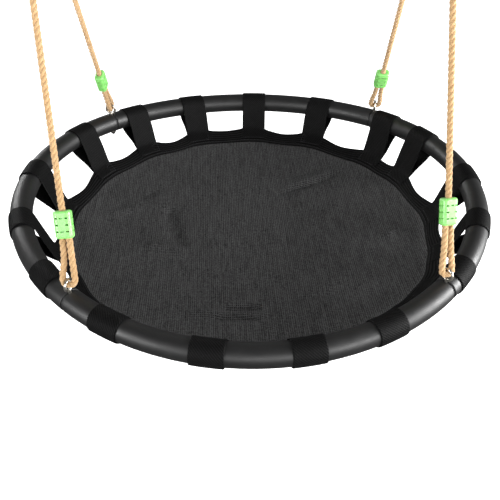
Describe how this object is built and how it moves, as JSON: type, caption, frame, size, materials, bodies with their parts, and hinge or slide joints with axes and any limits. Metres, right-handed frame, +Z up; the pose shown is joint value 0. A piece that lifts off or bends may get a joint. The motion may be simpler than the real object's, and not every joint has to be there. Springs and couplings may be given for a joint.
{
  "type": "saucer nest swing",
  "caption": "Round nest swing: a steel tube ring with a woven mat held by webbing straps, hung on rope pairs with sliding adjusters from two rings and carabiners.",
  "frame": {"origin": "midway between the two points where the carabiners bear on the eyes that hold them", "axes": "+X to the right, -Y to the front, +Z up; the two hanging points lie on the X axis"},
  "size_m": [1.006, 1.0053, 0.9552],
  "materials": {
    "powder_coat": "satin dark grey powder coat",
    "spigot_steel": "matt black",
    "zinc": "bright zinc plate",
    "black_nut": "black, semi-gloss",
    "aluminium": "pressed, dull",
    "mesh_fabric": "dark grey woven mesh",
    "webbing": "black ribbed webbing",
    "rope": "tan three-strand twisted rope",
    "adjuster_plastic": "pale lime green moulded plastic"
  },
  "bodies": {
    "carabiners": {"carabiner_left": "zinc", "carabiner_right": "zinc", "gate_pins": "zinc"},
    "left_gate": {"gate_left": "zinc"},
    "right_gate": {"gate_right": "zinc"},
    "hanging_rings": {"hanging_ring_left": "zinc", "hanging_ring_right": "zinc"},
    "left_ropes": {"rope_front_left": "rope", "rope_back_left": "rope", "ferrule_front_left": "aluminium", "ferrule_back_left": "aluminium"},
    "right_ropes": {"rope_front_right": "rope", "rope_back_right": "rope", "ferrule_front_right": "aluminium", "ferrule_back_right": "aluminium"},
    "seat": {"tube_right": "powder_coat", "tube_back": "powder_coat", "tube_left": "powder_coat", "tube_front": "powder_coat", "spigot_front_left": "spigot_steel", "spigot_front_right": "spigot_steel", "spigot_back_left": "spigot_steel", "spigot_back_right": "spigot_steel", "eye_bolt_front_left": "zinc", "eye_bolt_front_right": "zinc", "eye_bolt_back_left": "zinc", "eye_bolt_back_right": "zinc", "joint_washers": "zinc", "cap_nuts": "black_nut", "mat": "mesh_fabric", "mat_border": "webbing", "strap_01": "webbing", "strap_02": "webbing", "strap_03": "webbing", "strap_04": "webbing", "strap_05": "webbing", "strap_06": "webbing", "strap_07": "webbing", "strap_08": "webbing", "strap_09": "webbing", "strap_10": "webbing", "strap_11": "webbing", "strap_12": "webbing", "strap_13": "webbing", "strap_14": "webbing", "strap_15": "webbing", "strap_16": "webbing", "strap_17": "webbing"},
    "adjuster_front_left_body": {"adjuster_front_left": "adjuster_plastic"},
    "adjuster_front_right_body": {"adjuster_front_right": "adjuster_plastic"},
    "adjuster_back_left_body": {"adjuster_back_left": "adjuster_plastic"},
    "adjuster_back_right_body": {"adjuster_back_right": "adjuster_plastic"}
  },
  "joints": [
    {"name": "fore_aft_swing", "type": "hinge", "parent": "carabiners", "child": "hanging_rings", "pos_m": [0, 0, -0.068], "axis": [1, 0, 0], "range_deg": [-40, 40]},
    {"name": "side_sway", "type": "hinge", "parent": "hanging_rings", "child": "left_ropes", "pos_m": [-0.351, 0, -0.11661], "axis": [0, 1, 0], "range_deg": [-9, 11]},
    {"name": "right_rope_sway", "type": "hinge", "parent": "hanging_rings", "child": "right_ropes", "pos_m": [0.351, 0, -0.11668], "axis": [0, 1, 0], "range_deg": [-9, 11]},
    {"name": "seat_on_left_eyes", "type": "hinge", "parent": "left_ropes", "child": "seat", "pos_m": [-0.30146, 0, -0.78657], "axis": [0, 1, 0], "range_deg": [-11.7, 9.6]},
    {"name": "left_gate_hinge", "type": "hinge", "parent": "carabiners", "child": "left_gate", "pos_m": [-0.366, 0, -0.047], "axis": [0, 1, 0], "range_deg": [0, 20], "stiffness_Nm_per_rad": 0.2, "springref_deg": -14.32},
    {"name": "right_gate_hinge", "type": "hinge", "parent": "carabiners", "child": "right_gate", "pos_m": [0.366, 0, -0.047], "axis": [0, -1, 0], "range_deg": [0, 20], "stiffness_Nm_per_rad": 0.2, "springref_deg": -14.32},
    {"name": "adjuster_front_left_slide", "type": "slide", "parent": "left_ropes", "child": "adjuster_front_left_body", "axis": [-0.0671, 0.4387, 0.8961], "range_m": [0, 0.012]},
    {"name": "adjuster_front_right_slide", "type": "slide", "parent": "right_ropes", "child": "adjuster_front_right_body", "axis": [-0.0165, 0.4351, 0.9002], "range_m": [0, 0.012]},
    {"name": "adjuster_back_left_slide", "type": "slide", "parent": "left_ropes", "child": "adjuster_back_left_body", "axis": [-0.0653, -0.4432, 0.8941], "range_m": [0, 0.012]},
    {"name": "adjuster_back_right_slide", "type": "slide", "parent": "right_ropes", "child": "adjuster_back_right_body", "axis": [-0.012, -0.4388, 0.8985], "range_m": [0, 0.012]}
  ],
  "couplings": [
    {"joint": "right_rope_sway", "follows": "side_sway", "ratio": 1},
    {"joint": "seat_on_left_eyes", "follows": "side_sway", "ratio": -1.0587}
  ]
}
